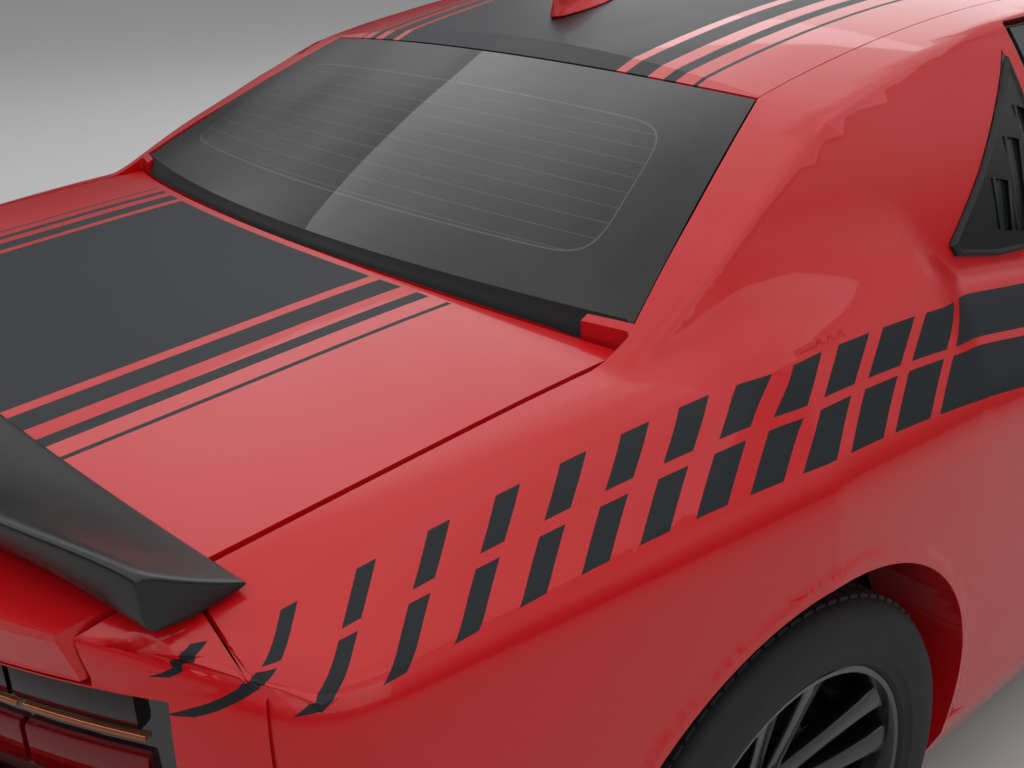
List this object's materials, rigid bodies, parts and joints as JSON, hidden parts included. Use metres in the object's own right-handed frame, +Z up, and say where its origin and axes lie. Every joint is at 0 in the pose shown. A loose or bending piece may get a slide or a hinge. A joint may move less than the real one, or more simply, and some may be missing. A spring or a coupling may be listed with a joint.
{
  "type": "muscle car",
  "caption": "Two-door muscle coupe with a rear spoiler, deck and side stripes, black twin-spoke wheels, and opening doors, hood and trunk lid.",
  "frame": {"origin": "on the road, under the middle of the overall length and width", "axes": "+X forward, +Y to the car's left, +Z up"},
  "size_m": [5.022, 2.21, 1.4619],
  "materials": {
    "body_paint": "gloss red",
    "black_paint": "satin black",
    "black_plastic": "matt",
    "glass": "tinted",
    "lamp_glass": "smoked",
    "head_lamp": "clear",
    "tyre": "matt",
    "wheel_black": "gloss black",
    "bare_steel": "machined",
    "cast_iron": "rough",
    "aluminium": "cast",
    "underbody_paint": "satin",
    "seat_trim": "woven"
  },
  "bodies": {
    "body": {"roof_panel": "body_paint", "rear_shelf": "body_paint", "windscreen": "glass", "rear_window": "glass", "quarter_windows": "glass", "body_side_left": "body_paint", "body_side_right": "body_paint", "fender_left": "body_paint", "fender_right": "body_paint", "cowl": "black_plastic", "front_fascia": "body_paint", "grille": "black_plastic", "headlamps": "head_lamp", "rear_fascia": "body_paint", "rear_valance": "black_plastic", "tail_lamps": "lamp_glass", "underbody": "underbody_paint", "trunk_floor": "underbody_paint", "shelf_floor": "underbody_paint", "front_liners": "black_plastic", "engine": "cast_iron", "drive_shaft": "bare_steel", "radiator": "aluminium", "fuel_tank": "black_plastic", "exhaust": "bare_steel", "front_suspension": "cast_iron", "rear_suspension": "cast_iron", "dashboard": "black_plastic", "console": "black_plastic", "front_seats": "seat_trim", "rear_seat": "seat_trim", "antenna_fin": "body_paint"},
    "door_left": {"door_left": "body_paint", "door_glass_left": "glass", "mirror_left": "body_paint"},
    "door_right": {"door_right": "body_paint", "door_glass_right": "glass", "mirror_right": "body_paint"},
    "hood": {"hood": "body_paint"},
    "trunk": {"trunk_lid": "body_paint", "spoiler": "black_paint"},
    "knuckle_left": {"knuckle_front_left": "cast_iron"},
    "knuckle_right": {"knuckle_front_right": "cast_iron"},
    "wheel_front_left": {"tyre_front_left": "tyre", "rim_front_left": "wheel_black"},
    "wheel_front_right": {"tyre_front_right": "tyre", "rim_front_right": "wheel_black"},
    "wheel_rear_left": {"tyre_rear_left": "tyre", "rim_rear_left": "wheel_black"},
    "wheel_rear_right": {"tyre_rear_right": "tyre", "rim_rear_right": "wheel_black"},
    "steering_wheel": {"steering_wheel": "black_plastic"}
  },
  "joints": [
    {"name": "door_left_hinge", "type": "hinge", "parent": "body", "child": "door_left", "pos_m": [0.74, 0.912, 0.6], "axis": [0, 0, -1], "range_deg": [0, 65]},
    {"name": "door_right_hinge", "type": "hinge", "parent": "body", "child": "door_right", "pos_m": [0.74, -0.912, 0.6], "axis": [0, 0, 1], "range_deg": [0, 65]},
    {"name": "hood_hinge", "type": "hinge", "parent": "body", "child": "hood", "pos_m": [0.938, 0, 1.002], "axis": [0, -1, 0], "range_deg": [0, 50]},
    {"name": "trunk_hinge", "type": "hinge", "parent": "body", "child": "trunk", "pos_m": [-1.508, 0, 1.104], "axis": [0, 1, 0], "range_deg": [0, 70]},
    {"name": "steer_left", "type": "hinge", "parent": "body", "child": "knuckle_left", "pos_m": [1.581, 0.735, 0.364], "axis": [0, 0, 1], "range_deg": [-33, 33]},
    {"name": "steer_right", "type": "hinge", "parent": "body", "child": "knuckle_right", "pos_m": [1.581, -0.735, 0.364], "axis": [0, 0, 1], "range_deg": [-33, 33]},
    {"name": "roll_front_left", "type": "hinge", "parent": "knuckle_left", "child": "wheel_front_left", "pos_m": [1.581, 0.8075, 0.364], "axis": [0, 1, 0], "continuous": true},
    {"name": "roll_front_right", "type": "hinge", "parent": "knuckle_right", "child": "wheel_front_right", "pos_m": [1.581, -0.8075, 0.364], "axis": [0, 1, 0], "continuous": true},
    {"name": "roll_rear_left", "type": "hinge", "parent": "body", "child": "wheel_rear_left", "pos_m": [-1.37, 0.8075, 0.364], "axis": [0, 1, 0], "continuous": true},
    {"name": "roll_rear_right", "type": "hinge", "parent": "body", "child": "wheel_rear_right", "pos_m": [-1.37, -0.8075, 0.364], "axis": [0, 1, 0], "continuous": true},
    {"name": "steering_wheel_turn", "type": "hinge", "parent": "body", "child": "steering_wheel", "pos_m": [0.438, 0.37, 0.903], "axis": [-0.9272, 0, 0.3746], "range_deg": [-475.2, 475.2]}
  ],
  "couplings": [
    {"joint": "steer_right", "follows": "steer_left", "ratio": 1},
    {"joint": "steering_wheel_turn", "follows": "steer_left", "ratio": 14.4}
  ]
}
